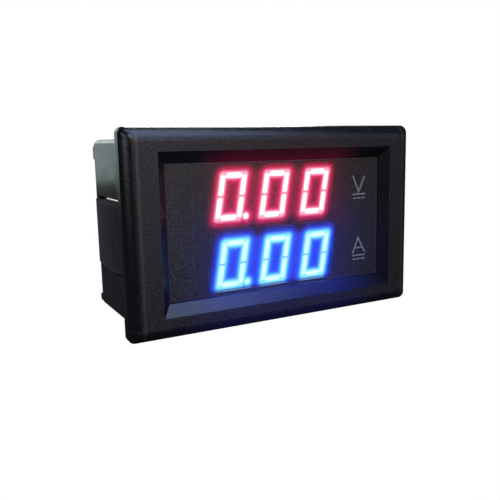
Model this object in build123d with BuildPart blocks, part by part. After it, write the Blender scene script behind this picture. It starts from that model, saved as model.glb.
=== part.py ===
from build123d import *
import math
import os

os.makedirs("parts", exist_ok=True)

# The meter faces -Y, +X is to the right seen from the front and +Z is up.
# The origin is the middle of the bezel's rear face, which lies against the panel.

# Bezel flange
flange_width = 48.0
flange_height = 29.0
flange_depth = 3.3
flange_side = 1.35
bevel_inset = 1.9
bevel_bulge = 0.4
flange_corner = 0.9

# Window in the bezel and the filter plate that fills it
bezel_side = 4.65
bezel_top = 3.3
window_splay_side = 1.3
window_splay_top = 1.7
filter_thickness = 1.0
filter_clearance = 0.1
filter_edge = 0.12
filter_front = -1.95
ledge_side = 1.35
ledge_top = 0.4

# Sleeve behind the panel, and the lip of the bezel that stands out round it
lip_side = 1.25
lip_top = 1.5
sleeve_depth = 16.2
sleeve_corner = 0.9
bay_corner = 0.4
sleeve_wall = 1.2
front_wall_back = 0.3

# Snap arms in the short sides of the sleeve
arm_width = 9.8
arm_level = -0.85
arm_slot = 0.5
arm_end_gap = 0.6
arm_root = 1.4
arm_proud = 0.15
arm_bulge = 0.22
crest_height = 0.9
crest_depth = 6.4
first_tooth_height = 0.2
first_tooth_depth = 1.2
tooth_count = 5
tooth_cut = 0.22
tooth_rise = 0.12

# Small stubs on the rear edges of the short sides
upper_stub_height = 2.0
upper_stub_inset = 1.95
upper_stub_length = 0.8
lower_stub_height = 1.2
lower_stub_inset = 1.2
lower_stub_length = 1.1
stub_rounding = 0.4

# Display modules, one above the other
display_side_room = 6.8
display_top_room = 1.9
display_case_depth = 5.0
display_base_depth = 1.1
display_base_inset = 0.1
display_edge = 0.2
display_front = 0.5
display_gap = 0.05
display_centre_x = 0.19
display_centre_z = -0.5

# Digits of seven slanted bars and a point
digit_slant = 10.0
display_end_room = 0.3
digit_end_room = 1.87
bar_share = 0.2384
stroke_share = 0.1164
bevel_share = 0.28
bar_half_gap = 0.1
bar_side_gap = 0.08
bar_depth = 0.8
point_share = 0.315
point_size_share = 0.13
point_raise = 0.07

# Display pins
pin_columns = 6
pin_end_room = 4.9
pin_row_inset = 1.14
pin_size = 0.5
pin_beyond_board = 1.1

# Circuit board
board_clearance = 0.25
board_thickness = 1.6
board_corner = 0.6
post_size = 2.4
bead_radius = 0.6
bead_length = 4.0
bead_end_room = 8.55

# Solder joints
solder_height = 0.7
solder_overhang = 0.45
solder_neck = 0.15
solder_slope = 0.55
solder_sides = 8

# Chips with gull-wing leads: length, width, height, lead pitch and lead span
microcontroller_size = (6.5, 4.4, 1.1, 0.65, 6.4)
microcontroller_level_share = 0.269
microcontroller_lead_count = 10
amplifier_size = (4.9, 3.9, 1.5, 1.27, 6.0)
amplifier_level_share = -0.068
amplifier_lead_count = 4
chip_room = 0.75
lead_thickness = 0.16
lead_share = 0.38
lead_foot = 0.6
lead_knee = 0.3
package_edge = 0.2
package_lift = 0.1
dot_diameter = 0.7
dot_depth = 0.1
dot_inset = 0.9

# Voltage regulator and protection diode
regulator_room = 3.0
regulator_size = (4.5, 2.5, 1.5)
regulator_lead_pitch = 1.5
regulator_lead_size = (0.5, 0.9, 0.4)
regulator_tab_size = (1.7, 0.7, 0.4)
diode_shift = 0.2
diode_size = (4.2, 2.6, 2.1)
diode_terminal = (0.35, 1.5, 1.1)
diode_edge = 0.15

# Chip capacitors and resistors: length, width, height and the length of an end cap
capacitor_size = (2.0, 1.25, 0.9, 0.4)
resistor_size = (1.6, 0.8, 0.45, 0.3)
capacitor_level_share = 0.19
capacitor_count = 4
resistor_level_share = -0.165
resistor_count = 5
row_end_room = 2.6

# Current shunt, a bent strip
shunt_thickness = 0.8
shunt_width = 1.6
shunt_end_room = 3.6
shunt_height = 3.0
shunt_bend = 1.2
shunt_level_share = -0.267

# Wire headers, open blocks with a locking wall: pin pitch, pin size and depth of the base
voltage_header = (2.54, 0.64, 5.8)
voltage_header_level_share = 6.0 / 23.6
voltage_pin_count = 3
current_header = (3.96, 1.14, 7.6)
current_header_level_share = -5.4 / 23.6
current_pin_count = 2
header_room = 6.55
header_base_height = 3.2
header_wall = 1.0
header_wall_height = 8.4
header_lip = 0.5
header_notch = 1.0
header_pin_top = 9.7
header_pin_below = 1.0
header_pin_point = 0.15
header_edge = 0.3
fit_clearance = 0.02

# Trimmers with a screw rotor
voltage_trimmer_level_share = 6.2 / 23.6
current_trimmer_level_share = -0.6 / 23.6
trimmer_room = 0.95
trimmer_width = 4.0
trimmer_length = 4.5
trimmer_height = 1.6
trimmer_edge = 0.2
trimmer_bore = 2.2
trimmer_bore_depth = 0.9
rotor_clearance = 0.05
rotor_diameter = 3.0
rotor_thickness = 0.55
rotor_slot = 0.5
rotor_slot_depth = 0.3
rotor_slot_length = 2.2
terminal_size = (0.9, 0.35, 0.7)

# Worked out from the sizes above
window_width = flange_width - 2 * bezel_side
window_height = flange_height - 2 * bezel_top
filter_width = window_width - 2 * window_splay_side
filter_height = window_height - 2 * window_splay_top
pocket_width = filter_width + 2 * filter_clearance
pocket_height = filter_height + 2 * filter_clearance
filter_back = filter_front + filter_thickness
sleeve_width = flange_width - 2 * lip_side
sleeve_height = flange_height - 2 * lip_top
bay_width = sleeve_width - 2 * sleeve_wall
bay_height = sleeve_height - 2 * sleeve_wall
arm_front = front_wall_back + arm_end_gap
display_width = filter_width - 2 * display_side_room
display_height = (bay_height - 2 * display_top_room) / 2
display_case_back = display_front + display_case_depth
row_pitch = display_height + display_gap
display_rows = {
    "voltage": display_centre_z + row_pitch / 2,
    "current": display_centre_z - row_pitch / 2,
}
digit_pitch = (display_width - 2 * display_end_room) / 3
slant_per_height = math.tan(math.radians(digit_slant))
bar_offset = digit_pitch * bar_share
bar_stroke = digit_pitch * stroke_share
bar_bevel = bar_stroke * bevel_share
bar_top = display_height / 2 - digit_end_room
cross_bar_half = bar_offset - bar_stroke / 2 - bar_side_gap
point_level = point_raise - bar_top
pin_pitch = (display_width - 2 * pin_end_room) / (pin_columns - 1)
pin_row_spacing = display_height - 2 * pin_row_inset
board_front = display_case_back + display_base_depth
board_back = board_front + board_thickness
board_width = bay_width - 2 * board_clearance
board_height = bay_height - 2 * board_clearance
bead_spacing = bay_width - 2 * bead_end_room

# Places on the board, from its two ends inwards
trimmer_x = trimmer_room + trimmer_width / 2 - bay_width / 2
chip_x = trimmer_x + trimmer_width / 2 + chip_room + microcontroller_size[0] / 2
header_x = bay_width / 2 - header_room
row_start = chip_x + microcontroller_size[0] / 2
row_end = header_x - current_header[0]
row_middle = (row_start + row_end) / 2
row_room = row_end - row_start - 2 * row_end_room
shunt_span = row_end - row_start - 2 * shunt_end_room
regulator_centre = (chip_x, regulator_room - bay_height / 2)
diode_centre = (trimmer_x + diode_shift, regulator_room - bay_height / 2)
trimmers = {
    "voltage": (trimmer_x, voltage_trimmer_level_share * bay_height),
    "current": (trimmer_x, current_trimmer_level_share * bay_height),
}
chips = {
    "microcontroller": (
        microcontroller_size,
        microcontroller_level_share * bay_height,
        microcontroller_lead_count,
    ),
    "amplifier_chip": (amplifier_size, amplifier_level_share * bay_height, amplifier_lead_count),
}
headers = {
    "voltage": (
        voltage_header,
        (header_x, voltage_header_level_share * bay_height),
        voltage_pin_count,
    ),
    "current": (
        current_header,
        (header_x, current_header_level_share * bay_height),
        current_pin_count,
    ),
}
capacitor_level = capacitor_level_share * bay_height
resistor_level = resistor_level_share * bay_height
shunt_level = shunt_level_share * bay_height
capacitor_places = [
    (row_middle + (k / (capacitor_count - 1) - 0.5) * row_room, capacitor_level)
    for k in range(capacitor_count)
]
resistor_places = [
    (row_middle + (k / (resistor_count - 1) - 0.5) * row_room, resistor_level)
    for k in range(resistor_count)
]
shunt_places = [
    (row_middle - shunt_span / 2, shunt_level),
    (row_middle + shunt_span / 2, shunt_level),
]


def at_depth(y):
    """A sketch plane that faces the front at depth y: local x is X and local y is Z."""
    return Plane.XZ.offset(-y)


def bevelled_outline(half_width):
    """Half sections of the bezel joined in one outline: flat back, straight sides, bulging bevels."""
    front_half = half_width - bevel_inset
    Line((-half_width, 0), (half_width, 0))
    Line((half_width, 0), (half_width, -flange_side))
    SagittaArc((half_width, -flange_side), (front_half, -flange_depth), bevel_bulge)
    Line((front_half, -flange_depth), (-front_half, -flange_depth))
    SagittaArc((-front_half, -flange_depth), (-half_width, -flange_side), bevel_bulge)
    Line((-half_width, -flange_side), (-half_width, 0))


def tooth_outline(inner):
    """Outer points of a snap arm, from its free end over the teeth to the crest."""
    pitch = (crest_depth - first_tooth_depth) / tooth_count
    step = (crest_height - first_tooth_height) / tooth_count
    points = [(inner, arm_front)]
    for k in range(tooth_count + 1):
        top = sleeve_width / 2 + first_tooth_height + k * step
        depth = first_tooth_depth + k * pitch
        if k == 0:
            points.append((top - tooth_cut, arm_front))
        points.append((top - tooth_cut, depth - tooth_rise))
        points.append((top, depth))
    return points


def slanted(centre_x, centre_z, points):
    """Points of an upright bar moved to a digit's place and leaned with it."""
    return [(centre_x + x + z * slant_per_height, centre_z + z) for x, z in points]


def upright_bar(side, level):
    """Outline of one upright bar; side is -1 or 1 for left or right, level -1 or 1 for low or high."""
    left = side * bar_offset - bar_stroke / 2
    right = side * bar_offset + bar_stroke / 2
    near = level * bar_half_gap
    shoulder = level * (bar_half_gap + bar_bevel)
    return [
        (left, shoulder),
        (side * bar_offset, near),
        (right, shoulder),
        (right, level * bar_top),
        (left, level * bar_top),
    ]


def cross_bar(level):
    """Outline of the top or bottom bar, bevelled at its outer corners."""
    outer = level * (bar_top + bar_stroke / 2)
    inner = level * (bar_top - bar_stroke / 2)
    return [
        (-cross_bar_half, inner),
        (cross_bar_half, inner),
        (cross_bar_half, outer - level * bar_bevel),
        (cross_bar_half - bar_bevel, outer),
        (bar_bevel - cross_bar_half, outer),
        (-cross_bar_half, outer - level * bar_bevel),
    ]


def middle_bar():
    """Outline of the middle bar, pointed at both ends."""
    half = bar_stroke / 2
    flat = cross_bar_half - half
    return [
        (-cross_bar_half, 0),
        (-flat, -half),
        (flat, -half),
        (cross_bar_half, 0),
        (flat, half),
        (-flat, half),
    ]


def digit_centres():
    """Middles of the three digits along X."""
    return [display_centre_x + k * digit_pitch for k in (-1, 0, 1)]


def lit_bars(row_z):
    """Faces of the bars that show 0.00: six bars of each digit and the first point."""
    for centre_x in digit_centres():
        for level in (-1, 1):
            Polygon(*slanted(centre_x, row_z, cross_bar(level)), align=None)
            for side in (-1, 1):
                Polygon(*slanted(centre_x, row_z, upright_bar(side, level)), align=None)
    with Locations((digit_centres()[0] + point_share * digit_pitch, row_z + point_level)):
        Circle(point_size_share * digit_pitch / 2)


def dark_bars(row_z):
    """Faces of the bars that are off: the middle bars and the other two points."""
    for centre_x in digit_centres():
        Polygon(*slanted(centre_x, row_z, middle_bar()), align=None)
    for centre_x in digit_centres()[1:]:
        with Locations((centre_x + point_share * digit_pitch, row_z + point_level)):
            Circle(point_size_share * digit_pitch / 2)


def display_pin_places(row_z):
    """Places of one display's pins, in two rows along X."""
    return [
        (display_centre_x + (k - (pin_columns - 1) / 2) * pin_pitch, row_z + side * pin_row_spacing / 2)
        for side in (-1, 1)
        for k in range(pin_columns)
    ]


def header_pin_places(pitch, centre, count):
    """Places of one header's pins, in a row along X."""
    return [(centre[0] + (k - (count - 1) / 2) * pitch, centre[1]) for k in range(count)]


def lead_outline(side, level, width, height, span):
    """Gull-wing lead as (depth, level) points: out of the package, down and along the board."""
    exit_height = height / 2 + package_lift
    knee = width / 2 + lead_knee
    heel = span / 2 - lead_foot
    points = [
        (exit_height, width / 2),
        (exit_height, knee),
        (lead_thickness, heel + lead_thickness),
        (lead_thickness, span / 2),
        (0, span / 2),
        (0, heel),
        (exit_height - lead_thickness, knee - lead_thickness),
        (exit_height - lead_thickness, width / 2),
    ]
    return [(board_back + rise, level + side * out) for rise, out in points]


# Rows of solder joints: board face, way they stand, places and section of the pins in them
joint_rows = [
    (board_back, -1, display_pin_places(row_z), (pin_size, pin_size)) for row_z in display_rows.values()
]
joint_rows += [
    (board_front, 1, header_pin_places(pitch, centre, count), (pin_width, pin_width))
    for (pitch, pin_width, base_depth), centre, count in headers.values()
]
joint_rows.append((board_back, -1, shunt_places, (shunt_thickness, shunt_width)))


# Housing: bezel, sleeve, board posts, snap beads and snap arms in one moulding
with BuildPart() as housing:
    with BuildSketch(Plane.XY):
        with BuildLine():
            bevelled_outline(flange_width / 2)
        make_face()
    extrude(amount=flange_height / 2, both=True)
    with BuildSketch(Plane(origin=(0, 0, 0), x_dir=(0, 0, 1), z_dir=(-1, 0, 0))):
        with BuildLine():
            bevelled_outline(flange_height / 2)
        make_face()
    extrude(amount=flange_width / 2, both=True, mode=Mode.INTERSECT)
    corner_edges = housing.edges().filter_by(
        lambda e: abs(e.center().X) > flange_width / 2 - bevel_inset
        and abs(e.center().Z) > flange_height / 2 - bevel_inset
    )
    fillet(corner_edges, radius=flange_corner)
    # Sleeve and the bay inside it
    with BuildSketch(at_depth(0)):
        RectangleRounded(sleeve_width, sleeve_height, sleeve_corner)
    extrude(amount=-sleeve_depth)
    with BuildSketch(at_depth(front_wall_back)):
        RectangleRounded(bay_width, bay_height, bay_corner)
    extrude(amount=front_wall_back - sleeve_depth, mode=Mode.SUBTRACT)
    # Window: splayed sides, a pocket for the filter plate and the ledge behind it
    with BuildSketch(at_depth(-flange_depth)):
        Rectangle(window_width, window_height)
    with BuildSketch(at_depth(filter_front)):
        Rectangle(pocket_width, pocket_height)
    loft(mode=Mode.SUBTRACT)
    with BuildSketch(at_depth(filter_front)):
        Rectangle(pocket_width, pocket_height)
    extrude(amount=-filter_thickness, mode=Mode.SUBTRACT)
    with BuildSketch(at_depth(filter_back)):
        Rectangle(pocket_width - 2 * ledge_side, pocket_height - 2 * ledge_top)
    extrude(amount=filter_back - front_wall_back, mode=Mode.SUBTRACT)
    # Posts that the board rests on, in the corners of the bay
    with BuildSketch(at_depth(front_wall_back)):
        with GridLocations(bay_width - post_size, bay_height - post_size, 2, 2):
            Rectangle(post_size, post_size)
    extrude(amount=front_wall_back - board_front)
    # Beads on the long walls that hold the board down
    for side in (-1, 1):
        with BuildSketch(Plane.YZ.offset(side * bead_spacing / 2)):
            with Locations(
                (board_back + bead_radius, bay_height / 2),
                (board_back + bead_radius, -bay_height / 2),
            ):
                Circle(bead_radius)
        extrude(amount=bead_length / 2, both=True)
    # Gap around each snap arm, cut through both short walls
    with BuildSketch(Plane.YZ):
        with Locations((front_wall_back, arm_level)):
            Rectangle(
                sleeve_depth - arm_root - front_wall_back,
                arm_width + 2 * arm_slot,
                align=(Align.MIN, Align.CENTER),
            )
    extrude(amount=sleeve_width, both=True, mode=Mode.SUBTRACT)
    # Snap arms: toothed near the bezel, then a smooth ramp to the rear edge
    for side in (-1, 1):
        arm_points = tooth_outline(bay_width / 2)
        ramp_end = (side * (sleeve_width / 2 + arm_proud), sleeve_depth)
        crest = (side * arm_points[-1][0], arm_points[-1][1])
        with BuildSketch(Plane.XY.offset(arm_level)):
            with BuildLine():
                Polyline(*[(side * x, y) for x, y in arm_points])
                SagittaArc(crest, ramp_end, -side * arm_bulge)
                Polyline(
                    ramp_end,
                    (side * bay_width / 2, sleeve_depth),
                    (side * bay_width / 2, arm_front),
                )
            make_face()
        extrude(amount=arm_width / 2, both=True)
    # Stubs on the rear edges of the short walls
    for height, level, length in (
        (upper_stub_height, sleeve_height / 2 - upper_stub_inset, upper_stub_length),
        (lower_stub_height, lower_stub_inset - sleeve_height / 2, lower_stub_length),
    ):
        with BuildSketch(at_depth(sleeve_depth)):
            RectangleRounded(sleeve_width, sleeve_height, sleeve_corner)
            with Locations((0, level)):
                Rectangle(sleeve_width, height, mode=Mode.INTERSECT)
                Rectangle(bay_width, height, mode=Mode.SUBTRACT)
        extrude(amount=-length)
        stub_ends = housing.faces().group_by(Axis.Y)[-1]
        fillet(stub_ends.edges().filter_by(Axis.X), radius=stub_rounding)
housing.part.label = "housing"
export_step(housing.part, "parts/housing.step")

# Filter plate: dark see-through plate with fine bevelled front edges
with BuildPart() as filter_window:
    with BuildSketch(at_depth(filter_front)):
        Rectangle(filter_width, filter_height)
    extrude(amount=-filter_thickness)
    chamfer(filter_window.faces().sort_by(Axis.Y)[0].edges(), length=filter_edge)
filter_window.part.label = "filter_window"
export_step(filter_window.part, "parts/filter_window.step")

# The two display modules: case, lit bars, dark bars, base plate and pins
for name, row_z in display_rows.items():
    with BuildPart() as display_case:
        with BuildSketch(at_depth(display_front)):
            with Locations((display_centre_x, row_z)):
                Rectangle(display_width, display_height)
        extrude(amount=-display_case_depth)
        chamfer(display_case.faces().sort_by(Axis.Y)[0].edges(), length=display_edge)
        with BuildSketch(at_depth(display_front)):
            lit_bars(row_z)
            dark_bars(row_z)
        extrude(amount=-bar_depth, mode=Mode.SUBTRACT)
    display_case.part.label = f"{name}_display_case"
    export_step(display_case.part, f"parts/{name}_display_case.step")

    with BuildPart() as lit_segments:
        with BuildSketch(at_depth(display_front)):
            lit_bars(row_z)
        extrude(amount=-bar_depth)
    lit_segments.part.label = f"{name}_lit_segments"
    export_step(lit_segments.part, f"parts/{name}_lit_segments.step")

    with BuildPart() as dark_segments:
        with BuildSketch(at_depth(display_front)):
            dark_bars(row_z)
        extrude(amount=-bar_depth)
    dark_segments.part.label = f"{name}_dark_segments"
    export_step(dark_segments.part, f"parts/{name}_dark_segments.step")

    with BuildPart() as display_base:
        with BuildSketch(at_depth(display_case_back)):
            with Locations((display_centre_x, row_z)):
                Rectangle(display_width - 2 * display_base_inset, display_height - 2 * display_base_inset)
        extrude(amount=-display_base_depth)
    display_base.part.label = f"{name}_display_base"
    export_step(display_base.part, f"parts/{name}_display_base.step")

    with BuildPart() as display_pins:
        with BuildSketch(at_depth(board_front)):
            with Locations(*display_pin_places(row_z)):
                Rectangle(pin_size, pin_size)
        extrude(amount=-(board_thickness + pin_beyond_board))
    display_pins.part.label = f"{name}_display_pins"
    export_step(display_pins.part, f"parts/{name}_display_pins.step")

# Circuit board; its holes are filled with solder up to the pins
with BuildPart() as circuit_board:
    with BuildSketch(at_depth(board_front)):
        RectangleRounded(board_width, board_height, board_corner)
        for face_y, way, places, section in joint_rows:
            with Locations(*places):
                Rectangle(
                    section[0] + 2 * fit_clearance,
                    section[1] + 2 * fit_clearance,
                    mode=Mode.SUBTRACT,
                )
    extrude(amount=-board_thickness)
circuit_board.part.label = "circuit_board"
export_step(circuit_board.part, "parts/circuit_board.step")

# Solder joints: behind the board at the display pins and the shunt, in front of it at the headers
with BuildPart() as solder_joints:
    for face_y, way, places, section in joint_rows:
        for place in places:
            with BuildSketch(at_depth(face_y)):
                with Locations(place):
                    RegularPolygon(math.hypot(*section) / 2 + solder_overhang, solder_sides)
            extrude(amount=way * solder_height)
            tip = solder_joints.faces(Select.LAST).sort_by(lambda face: way * face.center().Y)[0]
            chamfer(
                tip.edges(),
                length=solder_overhang - solder_neck,
                length2=solder_slope,
                reference=tip,
            )
        with BuildSketch(at_depth(face_y)):
            with Locations(*places):
                Rectangle(section[0] + 2 * fit_clearance, section[1] + 2 * fit_clearance)
        extrude(amount=way * solder_height, mode=Mode.SUBTRACT)
solder_joints.part.label = "solder_joints"
export_step(solder_joints.part, "parts/solder_joints.step")

# Chips on the back of the board: a moulded package and two rows of leads each
for name, ((length, width, height, pitch, span), level, count) in chips.items():
    with BuildPart() as package:
        with BuildSketch(at_depth(board_back + package_lift)):
            with Locations((chip_x, level)):
                Rectangle(length, width)
        extrude(amount=-height)
        top_face = package.faces().sort_by(Axis.Y)[-1]
        chamfer(top_face.edges(), length=package_edge)
        with BuildSketch(at_depth(board_back + package_lift + height)):
            with Locations((chip_x + length / 2 - dot_inset, level - width / 2 + dot_inset)):
                Circle(dot_diameter / 2)
        extrude(amount=dot_depth, mode=Mode.SUBTRACT)
    package.part.label = name
    export_step(package.part, f"parts/{name}.step")

    with BuildPart() as leads:
        for k in range(count):
            lead_x = chip_x + (k - (count - 1) / 2) * pitch
            with BuildSketch(Plane.YZ.offset(lead_x)):
                for side in (-1, 1):
                    Polygon(*lead_outline(side, level, width, height, span), align=None)
            extrude(amount=pitch * lead_share / 2, both=True)
    leads.part.label = f"{name}_leads"
    export_step(leads.part, f"parts/{name}_leads.step")

# Voltage regulator: package, three leads on one side and a tab on the other
with BuildPart() as voltage_regulator:
    with BuildSketch(at_depth(board_back)):
        with Locations(regulator_centre):
            Rectangle(regulator_size[0], regulator_size[1])
    extrude(amount=-regulator_size[2])
    chamfer(voltage_regulator.faces().sort_by(Axis.Y)[-1].edges(), length=package_edge)
voltage_regulator.part.label = "voltage_regulator"
export_step(voltage_regulator.part, "parts/voltage_regulator.step")

with BuildPart() as voltage_regulator_leads:
    lead_level = regulator_centre[1] - regulator_size[1] / 2 - regulator_lead_size[1] / 2
    tab_level = regulator_centre[1] + regulator_size[1] / 2 + regulator_tab_size[1] / 2
    with BuildSketch(at_depth(board_back)):
        with Locations(*[(regulator_centre[0] + k * regulator_lead_pitch, lead_level) for k in (-1, 0, 1)]):
            Rectangle(regulator_lead_size[0], regulator_lead_size[1])
    extrude(amount=-regulator_lead_size[2])
    with BuildSketch(at_depth(board_back)):
        with Locations((regulator_centre[0], tab_level)):
            Rectangle(regulator_tab_size[0], regulator_tab_size[1])
    extrude(amount=-regulator_tab_size[2])
voltage_regulator_leads.part.label = "voltage_regulator_leads"
export_step(voltage_regulator_leads.part, "parts/voltage_regulator_leads.step")

# Protection diode: block with a bent terminal at each end
with BuildPart() as protection_diode:
    with BuildSketch(at_depth(board_back + package_lift)):
        with Locations(diode_centre):
            Rectangle(diode_size[0], diode_size[1])
    extrude(amount=-diode_size[2])
    chamfer(protection_diode.faces().sort_by(Axis.Y)[-1].edges(), length=diode_edge)
protection_diode.part.label = "protection_diode"
export_step(protection_diode.part, "parts/protection_diode.step")

with BuildPart() as protection_diode_terminals:
    with BuildSketch(at_depth(board_back)):
        terminal_offset = diode_size[0] / 2 + diode_terminal[0] / 2
        with Locations(*[(diode_centre[0] + side * terminal_offset, diode_centre[1]) for side in (-1, 1)]):
            Rectangle(diode_terminal[0], diode_terminal[1])
    extrude(amount=-diode_terminal[2])
protection_diode_terminals.part.label = "protection_diode_terminals"
export_step(protection_diode_terminals.part, "parts/protection_diode_terminals.step")

# Chip capacitors and resistors, and the end caps of both
for name, places, size in (
    ("chip_capacitors", capacitor_places, capacitor_size),
    ("chip_resistors", resistor_places, resistor_size),
):
    with BuildPart() as chip_bodies:
        with BuildSketch(at_depth(board_back)):
            with Locations(*places):
                Rectangle(size[0] - 2 * size[3], size[1])
        extrude(amount=-size[2])
    chip_bodies.part.label = name
    export_step(chip_bodies.part, f"parts/{name}.step")

with BuildPart() as chip_terminals:
    for places, size in ((capacitor_places, capacitor_size), (resistor_places, resistor_size)):
        cap_offset = (size[0] - size[3]) / 2
        with BuildSketch(at_depth(board_back)):
            for side in (-1, 1):
                with Locations(*[(x + side * cap_offset, z) for x, z in places]):
                    Rectangle(size[3], size[1])
        extrude(amount=-size[2])
chip_terminals.part.label = "chip_terminals"
export_step(chip_terminals.part, "parts/chip_terminals.step")

# Current shunt: a thick metal strip bent into a bridge over the board
with BuildPart() as current_shunt:
    with BuildSketch(Plane.XY.offset(shunt_level)):
        with BuildLine():
            outer_half = (shunt_span + shunt_thickness) / 2
            inner_half = (shunt_span - shunt_thickness) / 2
            shunt_top = board_back + shunt_height
            FilletPolyline(
                (row_middle - outer_half, board_front),
                (row_middle - outer_half, shunt_top),
                (row_middle + outer_half, shunt_top),
                (row_middle + outer_half, board_front),
                radius=shunt_bend + shunt_thickness,
            )
            Line((row_middle + outer_half, board_front), (row_middle + inner_half, board_front))
            FilletPolyline(
                (row_middle + inner_half, board_front),
                (row_middle + inner_half, shunt_top - shunt_thickness),
                (row_middle - inner_half, shunt_top - shunt_thickness),
                (row_middle - inner_half, board_front),
                radius=shunt_bend,
            )
            Line((row_middle - inner_half, board_front), (row_middle - outer_half, board_front))
        make_face()
    extrude(amount=shunt_width / 2, both=True)
current_shunt.part.label = "current_shunt"
export_step(current_shunt.part, "parts/current_shunt.step")

# Wire headers: a base with a locking wall, and square pins through it
for name, ((pitch, pin_width, base_depth), centre, count) in headers.items():
    base_width = pitch * count
    pin_places = header_pin_places(pitch, centre, count)
    wall_level = centre[1] + base_depth / 2 - header_wall / 2
    with BuildPart() as header_base:
        with BuildSketch(at_depth(board_back)):
            with Locations(centre):
                Rectangle(base_width, base_depth)
        extrude(amount=-header_base_height)
        with BuildSketch(at_depth(board_back)):
            with Locations((centre[0], wall_level)):
                Rectangle(base_width, header_wall)
        extrude(amount=-header_wall_height)
        # Lip at the top of the wall that catches the plug
        with BuildSketch(at_depth(board_back + header_wall_height)):
            with Locations((centre[0], wall_level - header_lip / 2)):
                Rectangle(base_width - 2 * header_notch, header_wall + header_lip)
        extrude(amount=header_lip)
        # Notches in the wall's two upper corners
        with BuildSketch(at_depth(board_back + header_wall_height)):
            for side in (-1, 1):
                with Locations((centre[0] + side * (base_width - header_notch) / 2, wall_level)):
                    Rectangle(header_notch, header_wall)
        extrude(amount=header_wall_height - header_base_height - header_notch, mode=Mode.SUBTRACT)
        base_edges = header_base.edges().filter_by(Axis.Y).group_by(SortBy.LENGTH)[-1]
        chamfer(base_edges, length=header_edge)
        with BuildSketch(at_depth(board_back)):
            with Locations(*pin_places):
                Rectangle(pin_width + 2 * fit_clearance, pin_width + 2 * fit_clearance)
        extrude(amount=-header_base_height, mode=Mode.SUBTRACT)
    header_base.part.label = f"{name}_header_base"
    export_step(header_base.part, f"parts/{name}_header_base.step")

    with BuildPart() as header_pins:
        with BuildSketch(at_depth(board_front - header_pin_below)):
            with Locations(*pin_places):
                Rectangle(pin_width, pin_width)
        extrude(amount=-(header_pin_below + board_thickness + header_pin_top))
        tip_faces = header_pins.faces().group_by(Axis.Y)[-1]
        chamfer(tip_faces.edges(), length=header_pin_point)
    header_pins.part.label = f"{name}_header_pins"
    export_step(header_pins.part, f"parts/{name}_header_pins.step")

# Trimmers: a base with a bore, and a rotor that turns in it
for name, centre in trimmers.items():
    with BuildPart() as trimmer_base:
        with BuildSketch(at_depth(board_back)):
            with Locations(centre):
                Rectangle(trimmer_width, trimmer_length)
        extrude(amount=-trimmer_height)
        chamfer(trimmer_base.edges().filter_by(Axis.Y), length=trimmer_edge)
        with BuildSketch(at_depth(board_back + trimmer_height)):
            with Locations(centre):
                Circle(trimmer_bore / 2)
        extrude(amount=trimmer_bore_depth, mode=Mode.SUBTRACT)
    trimmer_base.part.label = f"{name}_trimmer_base"
    export_step(trimmer_base.part, f"parts/{name}_trimmer_base.step")

    with BuildPart() as trimmer_rotor:
        rotor_bottom = board_back + trimmer_height - trimmer_bore_depth + rotor_clearance
        rotor_seat = board_back + trimmer_height + rotor_clearance
        with BuildSketch(at_depth(rotor_bottom)):
            with Locations(centre):
                Circle(trimmer_bore / 2 - rotor_clearance)
        extrude(amount=rotor_bottom - rotor_seat)
        with BuildSketch(at_depth(rotor_seat)):
            with Locations(centre):
                Circle(rotor_diameter / 2)
        extrude(amount=-rotor_thickness)
        with BuildSketch(at_depth(rotor_seat + rotor_thickness)):
            with Locations(centre):
                Rectangle(rotor_slot_length, rotor_slot)
                Rectangle(rotor_slot, rotor_slot_length)
        extrude(amount=rotor_slot_depth, mode=Mode.SUBTRACT)
    trimmer_rotor.part.label = f"{name}_trimmer_rotor"
    export_step(trimmer_rotor.part, f"parts/{name}_trimmer_rotor.step")

# Terminals of both trimmers: two on one side and one on the other
with BuildPart() as trimmer_terminals:
    with BuildSketch(at_depth(board_back)):
        for centre in trimmers.values():
            terminal_offset = (trimmer_length + terminal_size[1]) / 2
            with Locations(
                (centre[0] - trimmer_width / 4, centre[1] + terminal_offset),
                (centre[0] + trimmer_width / 4, centre[1] + terminal_offset),
                (centre[0], centre[1] - terminal_offset),
            ):
                Rectangle(terminal_size[0], terminal_size[1])
    extrude(amount=-terminal_size[2])
trimmer_terminals.part.label = "trimmer_terminals"
export_step(trimmer_terminals.part, "parts/trimmer_terminals.step")
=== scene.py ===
import math

import bmesh
import bpy
from mathutils import Matrix, Vector


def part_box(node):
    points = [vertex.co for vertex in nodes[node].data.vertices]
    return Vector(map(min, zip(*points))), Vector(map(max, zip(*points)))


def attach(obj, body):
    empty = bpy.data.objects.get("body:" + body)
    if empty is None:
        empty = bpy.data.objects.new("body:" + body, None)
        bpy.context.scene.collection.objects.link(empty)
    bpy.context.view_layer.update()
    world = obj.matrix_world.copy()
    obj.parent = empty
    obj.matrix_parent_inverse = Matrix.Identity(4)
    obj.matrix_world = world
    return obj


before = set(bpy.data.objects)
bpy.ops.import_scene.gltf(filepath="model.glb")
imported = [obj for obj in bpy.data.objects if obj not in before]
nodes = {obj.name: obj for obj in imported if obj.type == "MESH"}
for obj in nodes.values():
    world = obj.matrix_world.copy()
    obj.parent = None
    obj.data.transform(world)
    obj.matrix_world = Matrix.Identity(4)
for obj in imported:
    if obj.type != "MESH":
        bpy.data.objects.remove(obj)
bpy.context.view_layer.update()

MM = 0.001
WHITE = (1.0, 1.0, 1.0)
BLACK = (0.0, 0.0, 0.0)

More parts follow.
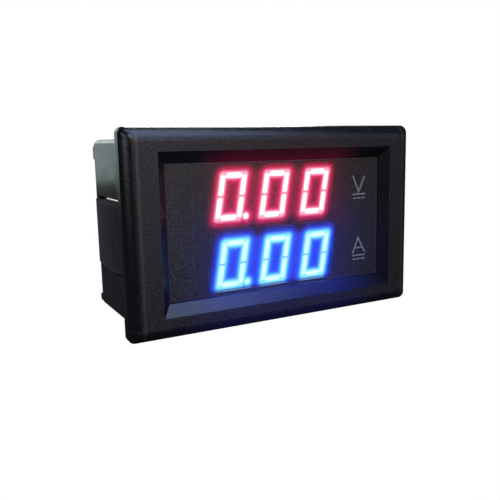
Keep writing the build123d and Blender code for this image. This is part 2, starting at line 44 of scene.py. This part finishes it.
# Sizes of the part, in millimetres; half sizes count from the middle
FLANGE_HALF = (24.0, 14.5)
FLANGE_FRONT = -3.3
RING_HALF = (22.1, 12.6)
ARM_FACE = 22.9
ARM_LEVEL = -0.85
ARM_HALF = 4.9
WINDOW_HALF = (19.35, 11.2)
LENS_HALF = (18.05, 9.5)
LENS_FRONT = -1.95
DISPLAY_FRONT = 0.5
DISPLAY_X = 0.19
DISPLAY_HALF = 11.1
ROWS = {"voltage": 4.475, "current": -5.475}
DIGIT_PITCH = 7.3
SLANT = math.tan(math.radians(10))
BAR_OFFSET = 1.7403
BAR_TOP = 3.08
BAR_HALF = 0.425
POINT = (2.2995, -3.01)
BOARD_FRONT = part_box("circuit_board")[0][1] / MM


class Material:
    """A node material; its methods add a node and return an output socket."""

    def __init__(self, name):
        self.material = bpy.data.materials.new(name)
        self.material.use_nodes = True
        self.tree = self.material.node_tree
        self.tree.nodes.clear()
        self.end = self.tree.nodes.new("ShaderNodeOutputMaterial")

    def node(self, kind, inputs=None, **settings):
        """A node with its inputs linked or set, and its settings."""
        made = self.tree.nodes.new(kind)
        for key, value in settings.items():
            setattr(made, key, value)
        for key, value in (inputs or {}).items():
            if isinstance(value, bpy.types.NodeSocket):
                self.tree.links.new(value, made.inputs[key])
            else:
                made.inputs[key].default_value = value
        return made

    def math(self, operation, *values, clamp=False):
        inputs = dict(enumerate(values))
        return self.node("ShaderNodeMath", inputs, operation=operation, use_clamp=clamp).outputs[0]

    def product(self, first, *others):
        """All values multiplied together."""
        for value in others:
            first = self.math("MULTIPLY", first, value)
        return first

    def rest(self, value):
        """1 less the value."""
        return self.math("SUBTRACT", 1.0, value)

    def length(self, first, second):
        """Length of the diagonal over two sides."""
        squares = self.math("ADD", self.product(first, first), self.product(second, second))
        return self.math("SQRT", squares)

    def place(self):
        """Object coordinates in millimetres, as a vector and as x, y and z."""
        found = self.node("ShaderNodeTexCoord").outputs["Object"]
        inputs = {0: found, "Scale": 1.0 / MM}
        scaled = self.node("ShaderNodeVectorMath", inputs, operation="SCALE").outputs[0]
        parts = self.node("ShaderNodeSeparateXYZ", {0: scaled}).outputs
        return scaled, parts[0], parts[1], parts[2]

    def noise(self, at, scale, detail=2.0, roughness=0.5):
        inputs = {"Vector": at, "Scale": scale, "Detail": detail, "Roughness": roughness}
        return self.node("ShaderNodeTexNoise", inputs).outputs[0]

    def step(self, value, start, end, low=0.0, high=1.0):
        """Smooth change from low to high while value goes from start to end."""
        inputs = {"Value": value, "From Min": start, "From Max": end, "To Min": low, "To Max": high}
        return self.node("ShaderNodeMapRange", inputs, interpolation_type="SMOOTHSTEP").outputs[0]

    def mix(self, factor, first, second, blend="MIX"):
        """Two colours mixed, or added where blend says so."""
        inputs = {"Factor": factor, "A": first, "B": second}
        made = self.node("ShaderNodeMix", data_type="RGBA", blend_type=blend)
        for name, value in inputs.items():
            socket = [s for s in made.inputs if s.name == name and s.enabled][-1]
            if isinstance(value, bpy.types.NodeSocket):
                self.tree.links.new(value, socket)
            elif name == "Factor":
                socket.default_value = value
            else:
                socket.default_value = (*value[:3], 1.0)
        return [s for s in made.outputs if s.enabled][0]

    def ramp(self, value, stops):
        """Colour ramp with stops of (place, colour)."""
        made = self.node("ShaderNodeValToRGB", {0: value})
        elements = made.color_ramp.elements
        while len(elements) < len(stops):
            elements.new(0.5)
        for element, (place, colour) in zip(elements, stops):
            element.position = place
            element.color = (*colour, 1.0)
        return made.outputs[0]

    def bump(self, height, distance):
        """Bumped normal for a height from 0 to 1 over a distance in millimetres."""
        inputs = {"Height": height, "Distance": distance * MM, "Strength": 1.0}
        return self.node("ShaderNodeBump", inputs).outputs[0]

    def surface(self, **inputs):
        """The principled shader, with underscores in the names for spaces."""
        named = {}
        for key, value in inputs.items():
            if isinstance(value, tuple):
                value = (*value, 1.0)
            named[key.replace("_", " ")] = value
        return self.node("ShaderNodeBsdfPrincipled", named).outputs[0]

    def finish(self, shader):
        """The material, with this shader at its end."""
        self.tree.links.new(shader, self.end.inputs["Surface"])
        return self.material


def bar_distance(made, x, z, row):
    """Distance in millimetres to the middle line of the nearest lit bar of one row.

    The second value says how deep a point lies in the gap between an upper and a lower bar.
    """
    up = made.math("SUBTRACT", z, row)
    slanted = made.math("SUBTRACT", made.math("SUBTRACT", x, DISPLAY_X), made.product(up, SLANT))
    turns = made.math("ROUND", made.math("DIVIDE", slanted, DIGIT_PITCH))
    turns = made.math("MAXIMUM", made.math("MINIMUM", turns, 1.0), -1.0)
    across = made.math("ABSOLUTE", made.math("SUBTRACT", slanted, made.product(turns, DIGIT_PITCH)))
    up = made.math("ABSOLUTE", up)
    past_end = made.math("MAXIMUM", made.math("SUBTRACT", up, BAR_TOP), 0.0)
    past_side = made.math("MAXIMUM", made.math("SUBTRACT", across, BAR_OFFSET - BAR_HALF), 0.0)
    from_upright = made.math("SUBTRACT", across, BAR_OFFSET)
    nearest = made.length(past_side, made.math("SUBTRACT", up, BAR_TOP))
    nearest = made.math("MINIMUM", nearest, made.length(from_upright, past_end))
    point_x = made.math("SUBTRACT", x, DISPLAY_X - DIGIT_PITCH + POINT[0])
    point_z = made.math("SUBTRACT", z, row + POINT[1])
    nearest = made.math("MINIMUM", nearest, made.length(point_x, point_z))
    beside = made.step(made.math("ABSOLUTE", from_upright), BAR_HALF + 0.2, BAR_HALF - 0.05)
    return nearest, made.product(made.step(up, *GAP_EDGE), beside)


# Light on the dark face by distance from a bar's middle line, as shares of GLOW_REACH
GLOW_REACH = 2.4
GAP_EDGE = (0.16, 0.06)
GAP_SHADE = 3
RED_STOPS = (
    (0.0, (1.0, 0.5, 0.6)),
    (0.18, (1.0, 0.38, 0.5)),
    (0.27, (0.7, 0.1, 0.2)),
    (0.35, (0.5, 0.012, 0.08)),
    (0.43, (0.38, 0.003, 0.045)),
    (0.52, (0.2, 0.001, 0.015)),
    (0.62, (0.07, 0.0, 0.004)),
    (0.85, (0.0, 0.0, 0.0)),
)
BLUE_STOPS = (
    (0.0, (0.3, 0.9, 1.0)),
    (0.18, (0.24, 0.82, 1.0)),
    (0.27, (0.11, 0.48, 1.0)),
    (0.35, (0.045, 0.24, 0.95)),
    (0.42, (0.012, 0.1, 0.78)),
    (0.5, (0.004, 0.04, 0.55)),
    (0.64, (0.0, 0.01, 0.25)),
    (0.9, (0.0, 0.0, 0.0)),
)

# Light between the digits, and the wide faint light scattered over the lens and the bezel
RED_FLOOR = (0.13, 0.003, 0.015)
BLUE_FLOOR = (0.012, 0.035, 0.5)
RED_SPILL = (0.07, 0.001, 0.012)
BLUE_SPILL = (0.004, 0.008, 0.125)
SPILL_FALL = 2.2

# Share of light that the lens lets through at its front: glows behind it are made brighter by as much
LENS_CLEAR = 0.35
LENS_TINT = 0.5
THROUGH_LENS = LENS_CLEAR * LENS_TINT


def within(made, value, centre, half, fade):
    """1 where value lies inside half of centre, falling to 0 over fade millimetres outside it."""
    off = made.math("ABSOLUTE", made.math("SUBTRACT", value, centre))
    return made.step(off, half + fade, half)


def row_floor(made, x, z, row):
    """Light that fills the spaces in and between the digits of one row."""
    slanted = made.math("SUBTRACT", x, made.product(made.math("SUBTRACT", z, row), SLANT))
    inside_x = within(made, slanted, DISPLAY_X, DIGIT_PITCH + BAR_OFFSET - 0.2, 1.7)
    inside_z = within(made, z, row, BAR_TOP - 0.2, 1.5)
    return made.product(inside_x, inside_z)


def row_glow(made, x, z):
    """Halo of both rows, as it is on the plane of the displays."""
    glow = None
    rows = (("voltage", RED_STOPS, RED_FLOOR), ("current", BLUE_STOPS, BLUE_FLOOR))
    for row, stops, floor_light in rows:
        nearest, gap = bar_distance(made, x, z, ROWS[row])
        halo = made.ramp(made.math("DIVIDE", nearest, GLOW_REACH), stops)
        shade = tuple(0.5 * c for c in stops[GAP_SHADE][1])
        halo = made.mix(made.product(gap, 0.5), halo, shade)
        inner = made.mix(row_floor(made, x, z, ROWS[row]), BLACK, floor_light)
        halo = made.mix(1.0, halo, inner, "ADD")
        glow = halo if glow is None else made.mix(1.0, glow, halo, "ADD")
    return glow


def display_face(name, base, rough):
    """Dark face of the displays with the halo of both rows on its front."""
    made = Material(name)
    at, x, y, z = made.place()
    front = made.step(y, DISPLAY_FRONT + 0.25, DISPLAY_FRONT + 0.2)
    grain = made.noise(at, 5.0, 3.0)
    colour = made.mix(grain, base, tuple(1.6 * c for c in base))
    return made.finish(
        made.surface(
            Base_Color=colour,
            Roughness=made.step(grain, 0.3, 0.7, rough - 0.08, rough + 0.08),
            Emission_Color=row_glow(made, x, z),
            Emission_Strength=made.product(front, 1.0 / THROUGH_LENS),
            Normal=made.bump(grain, 0.01),
        )
    )


def light_bars(name, row, core, rim, core_half):
    """Lit bars: nearly white along the middle, coloured towards the edges."""
    made = Material(name)
    at, x, _, z = made.place()
    nearest, _ = bar_distance(made, x, z, ROWS[row])
    cloud = made.noise(at, 2.0, 2.0)
    shade = made.mix(made.step(nearest, core_half, BAR_HALF + 0.02), core, rim)
    return made.finish(
        made.surface(
            Base_Color=(0.3, 0.3, 0.3),
            Roughness=made.step(cloud, 0.3, 0.7, 0.3, 0.4),
            Emission_Color=shade,
            Emission_Strength=1.1 / THROUGH_LENS,
            Normal=made.bump(cloud, 0.01),
        )
    )


def beyond(made, value, centre, half):
    """How far value lies outside half of centre."""
    off = made.math("ABSOLUTE", made.math("SUBTRACT", value, centre))
    return made.math("MAXIMUM", made.math("SUBTRACT", off, half), 0.0)


def spread(made, x, z, centre, half, reach):
    """Faint light around a row of digits: 1 within the box, falling to 0 over reach millimetres."""
    far = made.length(beyond(made, x, centre[0], half[0]), beyond(made, z, centre[1], half[1]))
    share = made.math("SUBTRACT", 1.0, made.math("DIVIDE", far, reach), clamp=True)
    return made.math("POWER", share, SPILL_FALL)


def spilled_light(made, x, z):
    """Light of both rows scattered over the lens and the bezel round it."""
    red = spread(made, x, z, (DISPLAY_X, ROWS["voltage"] + 0.5), (8.5, 2.5), 7.0)
    blue = spread(made, x, z, (DISPLAY_X - 0.5, ROWS["current"] - 0.5), (9.0, 2.5), 13.0)
    red = made.mix(red, BLACK, RED_SPILL)
    blue = made.mix(blue, BLACK, BLUE_SPILL)
    return made.mix(1.0, red, blue, "ADD")


def moulded_grain(made, at):
    """Spark-eroded grain: a height, and a mask of its highest points, which are painted lighter as
    painted glints.
    """
    coarse = made.noise(at, 3.6, 3.0, 0.65)
    fine = made.noise(at, 6.0, 2.0, 0.6)
    height = made.math("ADD", made.product(coarse, 0.7), made.product(fine, 0.3))
    return height, made.step(height, 0.43, 0.65)


def housing_plastic():
    """Black plastic: grained on the bezel, smooth and glossier on the sleeve and the arms."""
    made = Material("housing_plastic_look")
    at, x, y, z = made.place()
    off_x = made.math("ABSOLUTE", x)
    off_z = made.math("ABSOLUTE", z)
    grain, glint_specks = moulded_grain(made, at)
    broad = made.noise(at, 0.35, 2.0)

    # Masks of the bezel, of its smoother window sides and bevel, and of the grain
    bezel = made.step(y, 0.05, -0.05)
    splay_x = made.math("LESS_THAN", off_x, WINDOW_HALF[0])
    splay = made.product(splay_x, made.math("LESS_THAN", off_z, WINDOW_HALF[1]))
    bevel = made.product(made.step(y, FLANGE_FRONT + 0.05, FLANGE_FRONT + 0.35), 0.75)
    smooth = made.math("MAXIMUM", made.product(splay, 0.8), bevel)
    grained = made.product(bezel, made.rest(smooth))

    # Masks of the snap arms, which are painted lighter as painted light, of the slots beside them and
    # of a painted highlight line round the front, where the bevel meets the ring
    arm_x = made.step(off_x, ARM_FACE - 0.4, ARM_FACE)
    arm_light = made.product(arm_x, within(made, z, ARM_LEVEL, ARM_HALF, 0.1), made.rest(bezel))
    slot_x = made.step(off_x, ARM_FACE - 4.4, ARM_FACE - 4.0)
    off_arm = made.math("ABSOLUTE", made.math("SUBTRACT", z, ARM_LEVEL))
    slot_z = within(made, off_arm, ARM_HALF + 0.2, 0.45, 0.1)
    slot = made.product(slot_x, made.step(y, 0.05, 0.1), slot_z)
    ridge_highlight_x = within(made, off_x, RING_HALF[0], 0.08, 0.22)
    ridge_highlight_z = within(made, off_z, RING_HALF[1], 0.05, 0.15)
    ridge_highlight = made.product(made.math("MAXIMUM", ridge_highlight_x, made.product(ridge_highlight_z, 0.3)), bezel)

    colour = made.mix(broad, (0.0035, 0.0033, 0.0042), (0.0055, 0.005, 0.0065))
    # Painted glints: the grain's highest points are painted lighter than the plastic.
    colour = made.mix(made.product(glint_specks, grained), colour, (0.03, 0.0275, 0.031))
    # Painted light: the snap arms are painted lighter than the rest of the plastic.
    colour = made.mix(arm_light, colour, (0.04, 0.038, 0.043))
    # Painted highlight: a lighter line round the front, where the bevel meets the ring.
    colour = made.mix(made.product(ridge_highlight, 0.6), colour, (0.05, 0.043, 0.041))
    rough_grained = made.product(made.step(grain, 0.3, 0.7, 0.45, 0.3), grained)
    rough_smooth = made.product(made.step(broad, 0.3, 0.7, 0.14, 0.22), made.rest(grained))
    rough = made.math("ADD", rough_grained, rough_smooth)
    rough = made.math("ADD", rough, made.product(slot, 0.6))

    # The moulding beside the displays, behind the lens, carries their halo on
    beside = made.math("GREATER_THAN", beyond(made, x, DISPLAY_X, DISPLAY_HALF), 0.0)
    lens_x = made.math("LESS_THAN", off_x, LENS_HALF[0])
    lens_z = made.math("LESS_THAN", off_z, LENS_HALF[1])
    depth = made.product(made.step(y, LENS_FRONT + 0.7, LENS_FRONT + 0.9), made.step(y, 0.8, 0.6))
    behind = made.product(beside, lens_x, lens_z, depth)
    # Painted spilled light on the bezel, brighter on the grain's highest points as painted glints.
    spill = made.product(bezel, made.math("ADD", made.step(glint_specks, 0.0, 1.0, 0.45, 0.8), splay))
    spill = made.product(spill, made.rest(behind))
    return made.finish(
        made.surface(
            Base_Color=colour,
            Roughness=rough,
            IOR=1.5,
            Normal=made.bump(made.product(grain, grained), 0.13),
            Emission_Color=made.mix(behind, spilled_light(made, x, z), row_glow(made, x, z)),
            Emission_Strength=made.math("ADD", spill, made.product(behind, 1.0 / THROUGH_LENS)),
        )
    )


def smoked_lens():
    """Dark acrylic with a fine matt grain and a painted highlight along its cut rim; only its front
    acts on the light.
    """
    made = Material("smoked_lens_look")
    at, x, y, z = made.place()
    grain, glint_specks = moulded_grain(made, at)
    # Painted glints: the grain's highest points are painted lighter than the acrylic.
    colour = made.mix(glint_specks, (0.011, 0.0103, 0.0115), (0.096, 0.089, 0.093))
    edges = []
    for value, half in zip((x, z), LENS_HALF):
        edges.append(made.step(made.math("ABSOLUTE", value), half - 0.16, half - 0.04))
    edge_highlight = made.math("MAXIMUM", *edges)
    # Painted highlight along the lens's cut rim.
    colour = made.mix(made.product(edge_highlight, 0.5), colour, (0.16, 0.16, 0.18))
    front = made.step(y, LENS_FRONT + 0.6, LENS_FRONT + 0.5)
    # Painted spilled light on the lens, brighter on the grain's highest points as painted glints.
    body = made.surface(
        Base_Color=colour,
        Roughness=made.step(grain, 0.3, 0.7, 0.34, 0.22),
        IOR=1.58,
        Normal=made.bump(grain, 0.12),
        Emission_Color=spilled_light(made, x, z),
        Emission_Strength=made.step(glint_specks, 0.0, 1.0, 0.9, 1.5),
    )
    tint = made.mix(front, WHITE, (LENS_TINT, LENS_TINT, LENS_TINT * 1.03))
    clear = made.node("ShaderNodeBsdfTransparent", {"Color": tint}).outputs[0]
    share = made.product(front, 1.0 - LENS_CLEAR)
    return made.finish(made.node("ShaderNodeMixShader", {0: share, 1: clear, 2: body}).outputs[0])


def plastic(name, low, high, rough, scale=2.0, bump=0.01):
    """Plain plastic or glaze between two colours."""
    made = Material(name)
    at = made.place()[0]
    grain = made.noise(at, scale, 3.0, 0.6)
    broad = made.noise(at, scale * 0.15, 2.0)
    colour = made.mix(made.step(broad, 0.3, 0.7), low, high)
    return made.finish(
        made.surface(
            Base_Color=colour,
            Roughness=made.step(grain, 0.3, 0.7, rough - 0.06, rough + 0.08),
            IOR=1.48,
            Normal=made.bump(grain, bump),
        )
    )


CAVITY_SHADE = 0.06


def metal(name, low, high, rough, scale=1.5, bump=0.01):
    """Bare metal, painted nearly black in front of the board as painted shade of the dark space
    behind the lens, so that it stays unseen through the lens.
    """
    made = Material(name)
    at, _, y, _ = made.place()
    stretched = made.node("ShaderNodeMapping", {"Vector": at, "Scale": (1.0, 0.25, 1.0)}).outputs[0]
    grain = made.noise(stretched, scale * 4, 3.0, 0.6)
    broad = made.noise(at, scale, 2.0)
    colour = made.mix(made.step(broad, 0.3, 0.7), low, high)
    behind_board = made.step(y, BOARD_FRONT - 0.1, BOARD_FRONT + 0.1)
    # Painted shade: metal in front of the board is painted nearly black.
    colour = made.mix(behind_board, tuple(CAVITY_SHADE * c for c in low), colour)
    return made.finish(
        made.surface(
            Base_Color=colour,
            Metallic=1.0,
            Roughness=made.step(grain, 0.3, 0.7, rough - 0.08, rough + 0.1),
            Normal=made.bump(grain, bump),
        )
    )


def board_laminate():
    """Green solder mask over thin copper tracks."""
    made = Material("board_laminate_look")
    at, x, _, z = made.place()
    flat = made.node("ShaderNodeCombineXYZ", {0: x, 1: z}).outputs[0]
    sizes = {"Mortar Size": 0.11, "Mortar Smooth": 0.2, "Brick Width": 3.4, "Row Height": 1.27}
    inputs = {"Vector": flat, "Scale": 1.0, **sizes}
    shape = {"offset": 0.37, "squash": 0.6, "squash_frequency": 3}
    runs = made.node("ShaderNodeTexBrick", inputs, **shape).outputs["Fac"]
    patches = made.step(made.noise(flat, 0.22, 1.0), 0.4, 0.43)
    tracks = made.product(runs, patches)
    grain = made.noise(at, 3.0, 3.0)
    colour = made.mix(tracks, (0.012, 0.085, 0.03), (0.018, 0.12, 0.042))
    colour = made.mix(made.product(grain, 0.3), colour, (0.02, 0.12, 0.05))
    height = made.math("ADD", tracks, made.product(grain, 0.2))
    return made.finish(made.surface(Base_Color=colour, Roughness=0.3, Normal=made.bump(height, 0.03)))


LOOKS = {
    "housing": housing_plastic(),
    "filter_window": smoked_lens(),
    "display_case": display_face("display_face_look", (0.01, 0.01, 0.012), 0.5),
    # The unlit bars take the same painted halo as the face round them.
    "dark_segments": display_face("unlit_bar_look", (0.012, 0.011, 0.012), 0.4),
    "voltage_lit": light_bars("red_light_look", "voltage", (1.0, 0.97, 0.97), (1.0, 0.55, 0.66), 0.3),
    "current_lit": light_bars("blue_light_look", "current", (0.72, 1.0, 1.0), (0.27, 0.9, 1.0), 0.06),
    "display_base": plastic("display_resin_look", (0.6, 0.57, 0.48), (0.68, 0.65, 0.57), 0.4),
    "pins": metal("tinned_pin_look", (0.6, 0.6, 0.58), (0.72, 0.72, 0.7), 0.3),
    "board": board_laminate(),
    "solder": metal("solder_look", (0.62, 0.62, 0.62), (0.8, 0.8, 0.79), 0.25, 3.0, 0.03),
    "chip": plastic("chip_epoxy_look", (0.022, 0.022, 0.022), (0.03, 0.03, 0.03), 0.5, 5.0, 0.012),
    "capacitors": plastic("capacitor_ceramic_look", (0.32, 0.2, 0.11), (0.4, 0.27, 0.16), 0.4, 3.0),
    "resistors": plastic("resistor_glaze_look", (0.015, 0.015, 0.018), (0.03, 0.03, 0.034), 0.3, 3.0),
    "shunt": metal("shunt_alloy_look", (0.5, 0.3, 0.2), (0.6, 0.4, 0.3), 0.38),
    "header": plastic("header_nylon_look", (0.7, 0.68, 0.6), (0.78, 0.77, 0.7), 0.45),
    "trimmer": plastic("trimmer_plastic_look", (0.03, 0.1, 0.34), (0.045, 0.14, 0.42), 0.4),
    "rotor": metal("rotor_brass_look", (0.6, 0.48, 0.26), (0.7, 0.58, 0.34), 0.3),
}


def dress(name, look):
    """Put one look in all slots of a node of the part."""
    for slot in nodes[name].material_slots:
        slot.material = LOOKS[look]


for row in ROWS:
    dress(f"{row}_display_case", "display_case")
    dress(f"{row}_dark_segments", "dark_segments")
    dress(f"{row}_lit_segments", f"{row}_lit")
    dress(f"{row}_display_base", "display_base")
    dress(f"{row}_display_pins", "pins")
    dress(f"{row}_header_base", "header")
    dress(f"{row}_header_pins", "pins")
    dress(f"{row}_trimmer_base", "trimmer")
    dress(f"{row}_trimmer_rotor", "rotor")
for name, look in (
    ("housing", "housing"),
    ("filter_window", "filter_window"),
    ("circuit_board", "board"),
    ("solder_joints", "solder"),
    ("microcontroller", "chip"),
    ("microcontroller_leads", "pins"),
    ("amplifier_chip", "chip"),
    ("amplifier_chip_leads", "pins"),
    ("voltage_regulator", "chip"),
    ("voltage_regulator_leads", "pins"),
    ("protection_diode", "chip"),
    ("protection_diode_terminals", "pins"),
    ("chip_capacitors", "capacitors"),
    ("chip_resistors", "resistors"),
    ("chip_terminals", "solder"),
    ("current_shunt", "shunt"),
    ("trimmer_terminals", "pins"),
):
    dress(name, look)


def mark_look():
    """Pale grey ink of the unit marks."""
    made = Material("mark_ink_look")
    at = made.place()[0]
    grain = made.noise(at, 6.0, 2.0)
    colour = made.mix(made.step(grain, 0.35, 0.7), (0.19, 0.19, 0.215), (0.27, 0.27, 0.3))
    return made.finish(made.surface(Base_Color=colour, Roughness=0.55, Normal=made.bump(grain, 0.01)))


# Unit marks on the lens, in millimetres: V and A, each over a solid line and three dashes
INK = mark_look()
INK_THICKNESS = 0.02
INK_LIFT = 0.001
LETTER_WIDTH = 0.26
LINE_WIDTH = 0.22
LINE_START, LINE_END = 13.0, 15.5
DASH_GAP = 0.16
DASH_DROP = 0.6


def outline(path, width):
    """Corners of a flat stroke of one width along a path, with mitred turns."""
    points = [Vector(point) for point in path]
    sides = []
    for first, second in zip(points, points[1:]):
        along = (second - first).normalized()
        sides.append(Vector((-along.y, along.x)))
    offsets = [sides[0]]
    for before, after in zip(sides, sides[1:]):
        offsets.append((before + after) / (1.0 + before.dot(after)))
    offsets.append(sides[-1])
    upper = [point + side * width / 2 for point, side in zip(points, offsets)]
    lower = [point - side * width / 2 for point, side in zip(points, offsets)]
    return upper, lower


def ink_strokes(name, strokes):
    """Flat strokes printed on the lens: each is a path and a width in millimetres."""
    mesh = bmesh.new()
    for path, width in strokes:
        rows = []
        for y in (LENS_FRONT - INK_THICKNESS, LENS_FRONT - INK_LIFT):
            for side in outline(path, width):
                rows.append([mesh.verts.new((c.x * MM, y * MM, c.y * MM)) for c in side])
        front_up, front_low, back_up, back_low = rows
        last = len(path) - 1
        for k in range(last):
            mesh.faces.new((front_up[k], front_up[k + 1], front_low[k + 1], front_low[k]))
            mesh.faces.new((back_up[k + 1], back_up[k], back_low[k], back_low[k + 1]))
            mesh.faces.new((front_up[k + 1], front_up[k], back_up[k], back_up[k + 1]))
            mesh.faces.new((front_low[k], front_low[k + 1], back_low[k + 1], back_low[k]))
        mesh.faces.new((front_up[0], front_low[0], back_low[0], back_up[0]))
        mesh.faces.new((front_low[last], front_up[last], back_up[last], back_low[last]))
    bmesh.ops.recalc_face_normals(mesh, faces=mesh.faces)
    data = bpy.data.meshes.new(name)
    mesh.to_mesh(data)
    mesh.free()
    made = bpy.data.objects.new(name, data)
    bpy.context.scene.collection.objects.link(made)
    made.data.materials.append(INK)
    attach(made, "meter")


def unit_lines(level):
    """The direct current sign: a solid line over three dashes."""
    dash = (LINE_END - LINE_START) / 3
    lines = [(((LINE_START, level), (LINE_END, level)), LINE_WIDTH)]
    for k in range(3):
        start = LINE_START + k * dash + DASH_GAP / 2
        end = LINE_START + (k + 1) * dash - DASH_GAP / 2
        lines.append((((start, level - DASH_DROP), (end, level - DASH_DROP)), LINE_WIDTH))
    return lines


volt_letter = [(((13.08, 6.7), (14.22, 4.2), (15.37, 6.6)), LETTER_WIDTH)]
ampere_letter = [
    (((13.09, -5.68), (14.15, -3.2), (15.48, -5.64)), LETTER_WIDTH),
    (((13.58, -4.85), (14.93, -4.85)), LINE_WIDTH),
]
ink_strokes("volt_mark", volt_letter + unit_lines(3.78))
ink_strokes("ampere_mark", ampere_letter + unit_lines(-6.08))


# Floor and background: white where the camera sees them plainly, dim to other rays and
# through the lens
FLOOR_REACH = 1.5
FLOOR_GAP = 0.00002


def backdrop():
    """Pale floor."""
    made = Material("pale_floor_look")
    at = made.place()[0]
    grain = made.noise(at, 0.05, 2.0)
    colour = made.mix(grain, (0.05, 0.05, 0.052), (0.06, 0.06, 0.062))
    plain = made.node("ShaderNodeBsdfDiffuse", {"Color": colour}).outputs[0]
    white = made.node("ShaderNodeEmission", {"Color": (*WHITE, 1.0), "Strength": 1.0}).outputs[0]
    path = made.node("ShaderNodeLightPath").outputs
    unscreened = made.math("LESS_THAN", path["Transparent Depth"], 0.5)
    seen = made.product(path["Is Camera Ray"], unscreened)
    return made.finish(made.node("ShaderNodeMixShader", {0: seen, 1: plain, 2: white}).outputs[0])


floor_mesh = bmesh.new()
for side_x, side_y in ((-1, -1), (1, -1), (1, 1), (-1, 1)):
    corner = (side_x * FLOOR_REACH, side_y * FLOOR_REACH, -FLANGE_HALF[1] * MM - FLOOR_GAP)
    floor_mesh.verts.new(corner)
floor_mesh.faces.new(floor_mesh.verts)
floor_data = bpy.data.meshes.new("floor")
floor_mesh.to_mesh(floor_data)
floor_mesh.free()
floor = bpy.data.objects.new("floor", floor_data)
bpy.context.scene.collection.objects.link(floor)
floor.data.materials.append(backdrop())

world = bpy.data.worlds.new("studio")
bpy.context.scene.world = world
world.use_nodes = True
tree = world.node_tree
tree.nodes.clear()
light_path = tree.nodes.new("ShaderNodeLightPath")
dim = tree.nodes.new("ShaderNodeBackground")
dim.inputs[0].default_value = (0.6, 0.72, 1.0, 1.0)
dim.inputs[1].default_value = 0.05
bright = tree.nodes.new("ShaderNodeBackground")
bright.inputs[0].default_value = (*WHITE, 1.0)
bright.inputs[1].default_value = 1.0
blend = tree.nodes.new("ShaderNodeMixShader")
world_end = tree.nodes.new("ShaderNodeOutputWorld")
unscreened = tree.nodes.new("ShaderNodeMath")
unscreened.operation = "LESS_THAN"
unscreened.inputs[1].default_value = 0.5
seen = tree.nodes.new("ShaderNodeMath")
seen.operation = "MULTIPLY"
tree.links.new(light_path.outputs["Transparent Depth"], unscreened.inputs[0])
tree.links.new(light_path.outputs["Is Camera Ray"], seen.inputs[0])
tree.links.new(unscreened.outputs[0], seen.inputs[1])
tree.links.new(seen.outputs[0], blend.inputs[0])
tree.links.new(dim.outputs[0], blend.inputs[1])
tree.links.new(bright.outputs[0], blend.inputs[2])
tree.links.new(blend.outputs[0], world_end.inputs[0])


def soft_box(name, place, target, size, watts, colour):
    """A soft area light at a place, turned to a target; both in millimetres."""
    data = bpy.data.lights.new(name, "AREA")
    data.shape = "RECTANGLE"
    data.size, data.size_y = size[0] * MM, size[1] * MM
    data.energy = watts
    data.color = colour
    made = bpy.data.objects.new(name, data)
    made.location = Vector(place) * MM
    made.rotation_euler = (Vector(target) - Vector(place)).to_track_quat("-Z", "Y").to_euler()
    bpy.context.scene.collection.objects.link(made)


soft_box("top_box", (14, -50, 200), (0, -10, 0), (170, 190), 0.32, (0.5, 0.64, 1.0))
soft_box("glare_box", (45, -228, 45), (-14, 0, 6), (80, 70), 0.085, (1.0, 0.9, 0.98))
soft_box("front_box", (-90, -190, 130), (0, 0, 0), (120, 100), 0.26, (1.0, 0.97, 1.0))
soft_box("left_box", (-260, -40, 60), (-20, 8, 0), (120, 110), 0.08, (0.9, 0.96, 1.0))
soft_box("back_left_box", (-95, 330, 62), (-22, 10, 5), (170, 150), 0.058, (0.84, 1.0, 0.99))
soft_box("back_strip", (-30, 330, 105), (-22, 10, 13), (200, 50), 0.04, (0.95, 0.97, 1.0))
soft_box("rear_fill", (150, 320, 170), (0, 10, 0), (160, 160), 0.95, (1.0, 1.0, 1.0))

# Camera at the photograph's viewing angle: place in millimetres, turns, focal length and
# middle of the picture in pixels
SENSOR_WIDTH = 36
CAMERA_PLACE = (-45.996, -79.020, 11.976)
YAW, PITCH, ROLL = (math.radians(angle) for angle in (28.633, 9.184, -1.097))
FOCAL_PIXELS = 607.05
MIDDLE = (259.367, 241.887)
FRAME_PIXELS = 500

flat_forward = Vector((math.sin(YAW), math.cos(YAW), 0))
forward = math.cos(PITCH) * flat_forward - Vector((0, 0, math.sin(PITCH)))
level_right = Vector((math.cos(YAW), -math.sin(YAW), 0))
level_up = level_right.cross(forward)
right = math.cos(ROLL) * level_right + math.sin(ROLL) * level_up
up = -math.sin(ROLL) * level_right + math.cos(ROLL) * level_up
camera_data = bpy.data.cameras.new("camera")
camera_data.sensor_width = SENSOR_WIDTH
camera_data.lens = SENSOR_WIDTH * FOCAL_PIXELS / FRAME_PIXELS
camera_data.shift_x = (FRAME_PIXELS / 2 - MIDDLE[0]) / FRAME_PIXELS
camera_data.shift_y = (MIDDLE[1] - FRAME_PIXELS / 2) / FRAME_PIXELS
camera_data.clip_start = 0.001
camera_data.clip_end = 20
camera = bpy.data.objects.new("camera", camera_data)
turned = Matrix((right, up, -forward)).transposed().to_4x4()
camera.matrix_world = Matrix.Translation(Vector(CAMERA_PLACE) * MM) @ turned
bpy.context.scene.collection.objects.link(camera)
bpy.context.scene.camera = camera

bpy.context.scene.view_settings.view_transform = "Standard"
